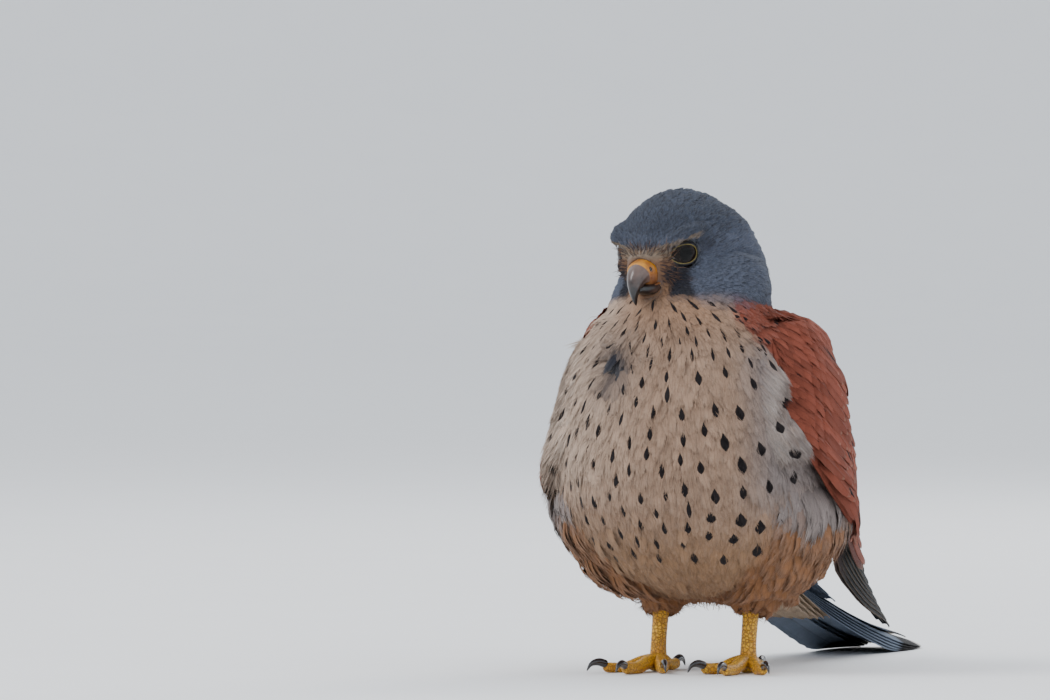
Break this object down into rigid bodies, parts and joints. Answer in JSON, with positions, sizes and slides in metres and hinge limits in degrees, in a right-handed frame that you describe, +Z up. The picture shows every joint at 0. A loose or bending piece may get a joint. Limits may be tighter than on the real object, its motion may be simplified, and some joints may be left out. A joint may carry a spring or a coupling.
{
  "type": "common kestrel",
  "caption": "Life-size still model of an adult male common kestrel, standing fluffed up with its wings folded and its tail resting on the floor.",
  "frame": {"origin": "on the floor, under the middle of the whole bird's box", "axes": "+Z up, -Y the way the body faces, +X the bird's left side"},
  "size_m": [0.1178, 0.2754, 0.1728],
  "materials": {
    "slate_feathers": "soft barbed feathers, slate grey with fine dark shafts",
    "buff_feathers": "fluffy body feathers, warm buff with dark brown drops",
    "chestnut_feathers": "sleek wing feathers, chestnut with small black spots, blackish at the tips",
    "yellow_skin": "scaly skin, slight sheen",
    "horn": "polished dark horn",
    "eye_gloss": "wet, mirror smooth"
  },
  "bodies": {
    "root": {"head": "slate_feathers", "neck": "buff_feathers", "torso": "buff_feathers", "cere": "yellow_skin", "bill_upper": "horn", "bill_lower": "horn", "wing_left": "chestnut_feathers", "wing_right": "chestnut_feathers", "tail": "slate_feathers", "eye_left": "eye_gloss", "thigh_left": "buff_feathers", "tarsus_left": "yellow_skin", "foot_left": "yellow_skin", "claw_left_inner": "horn", "claw_left_middle": "horn", "claw_left_outer": "horn", "claw_left_hind": "horn", "eye_right": "eye_gloss", "thigh_right": "buff_feathers", "tarsus_right": "yellow_skin", "foot_right": "yellow_skin", "claw_right_inner": "horn", "claw_right_middle": "horn", "claw_right_outer": "horn", "claw_right_hind": "horn"}
  },
  "joints": []
}
